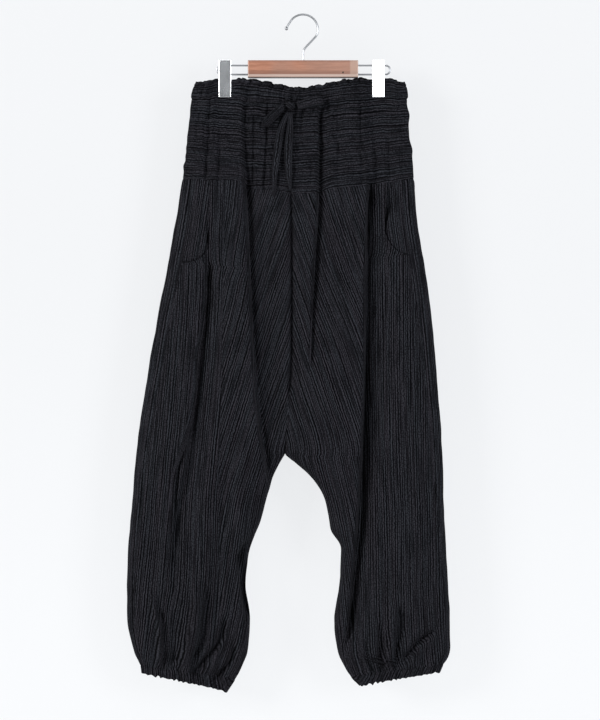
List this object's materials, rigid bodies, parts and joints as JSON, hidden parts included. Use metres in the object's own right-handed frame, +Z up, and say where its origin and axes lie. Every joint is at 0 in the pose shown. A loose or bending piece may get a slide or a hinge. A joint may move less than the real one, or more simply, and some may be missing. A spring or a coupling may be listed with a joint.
{
  "type": "harem pants on a clip hanger",
  "caption": "Drop-crotch harem pants with a drawstring waist, hip yoke, curved slant pockets and elastic cuffs, held up at the waist by the clips of a wood and wire hanger.",
  "frame": {"origin": "inside of the hook at its top, where a rail or a peg carries the hanger", "axes": "+Z up along the garment, -Y towards its front, +X towards the wearer's left"},
  "size_m": [0.5008, 0.0654, 1.0522],
  "materials": {
    "cotton_waistband": "woven charcoal cotton with thin pale stripes across",
    "cotton_yoke": "woven charcoal cotton with thin pale stripes across",
    "cotton_legs": "woven charcoal cotton with thin pale stripes down the grain",
    "cotton_cuffs": "woven charcoal cotton, gathered on elastic",
    "cotton_drawstring": "charcoal cotton, sewn into a narrow tube",
    "hanger_wood": "red-brown varnish",
    "hanger_wire": "bright plated steel wire",
    "hanger_clips": "bright plated steel sheet"
  },
  "bodies": {
    "root": {"waistband_front": "cotton_waistband", "waistband_back": "cotton_waistband", "yoke_front": "cotton_yoke", "yoke_back": "cotton_yoke", "leg_front_left": "cotton_legs", "leg_front_right": "cotton_legs", "leg_back_left": "cotton_legs", "leg_back_right": "cotton_legs", "pocket_bag_left": "cotton_legs", "pocket_bag_right": "cotton_legs", "cuff_front_left": "cotton_cuffs", "cuff_back_left": "cotton_cuffs", "cuff_front_right": "cotton_cuffs", "cuff_back_right": "cotton_cuffs", "drawstring_knot": "cotton_drawstring", "drawstring_strand_right": "cotton_drawstring", "drawstring_strand_left": "cotton_drawstring", "drawstring_loop_right": "cotton_drawstring", "drawstring_loop_left": "cotton_drawstring", "drawstring_end_right": "cotton_drawstring", "drawstring_end_left": "cotton_drawstring", "hanger_bar": "hanger_wood", "hanger_hook": "hanger_wire", "hanger_rail_left": "hanger_wire", "hanger_rail_right": "hanger_wire", "hanger_carrier_left": "hanger_clips", "hanger_carrier_right": "hanger_clips", "hanger_clip_front_left": "hanger_clips", "hanger_clip_back_left": "hanger_clips", "hanger_clip_front_right": "hanger_clips", "hanger_clip_back_right": "hanger_clips"}
  },
  "joints": []
}
